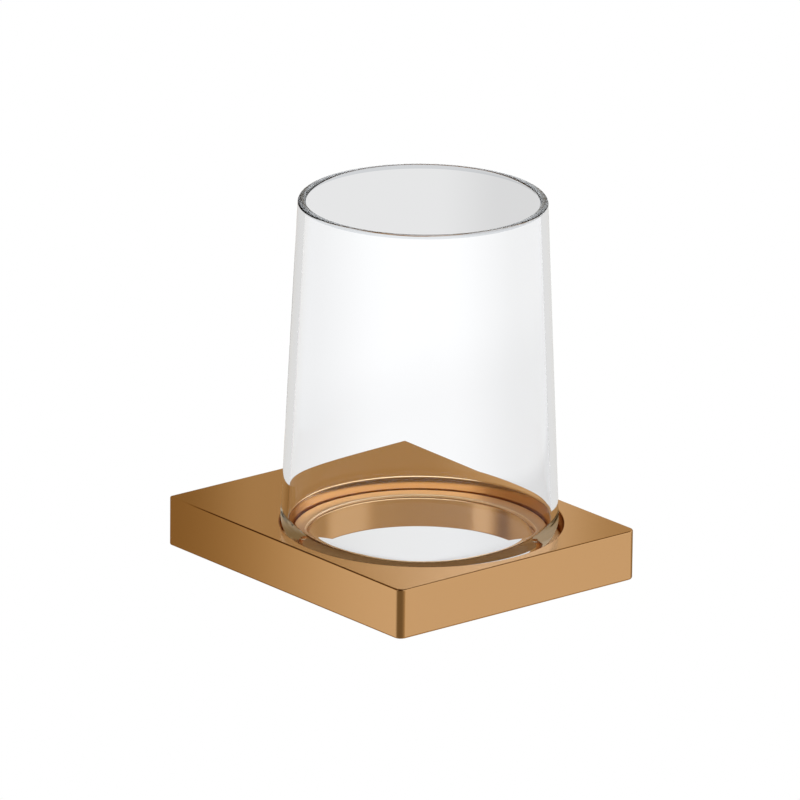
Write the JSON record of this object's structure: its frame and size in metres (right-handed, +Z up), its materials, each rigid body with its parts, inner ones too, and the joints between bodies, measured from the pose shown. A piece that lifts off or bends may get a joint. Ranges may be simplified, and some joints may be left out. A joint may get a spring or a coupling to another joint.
{
  "type": "wall-mounted tumbler holder",
  "caption": "Wall-mounted metal plate with a stepped round hole that holds a drop-in clear glass tumbler, on a concealed bracket with wall screws, plugs and set screws.",
  "frame": {"origin": "centre of the wall bracket's rear face, in the wall plane and in the plate's mid-plane", "axes": "+Z up, +Y into the wall, -Y into the room, +X to the right of someone facing the wall"},
  "size_m": [0.088, 0.136, 0.112],
  "materials": {
    "plate_metal": "satin rose-bronze metal coating on solid brass",
    "tumbler_glass": "clear polished crystal glass",
    "seat_silicone": "soft satin silicone, coloured to match the bronze plate",
    "bracket_steel": "brushed stainless steel",
    "screw_steel": "bright zinc plate",
    "plug_nylon": "moulded grey nylon",
    "grub_steel": "dark stainless steel"
  },
  "bodies": {
    "holder": {"holder_plate": "plate_metal", "seat_ring": "seat_silicone", "wall_bracket": "bracket_steel", "wall_screw_left": "screw_steel", "wall_screw_right": "screw_steel", "wall_plug_left": "plug_nylon", "wall_plug_right": "plug_nylon", "grub_screw_left": "grub_steel", "grub_screw_right": "grub_steel"},
    "glass": {"tumbler": "tumbler_glass"}
  },
  "joints": [
    {"name": "tumbler_lift", "type": "slide", "parent": "holder", "child": "glass", "axis": [0, 0, 1], "range_m": [0, 0.06]}
  ]
}
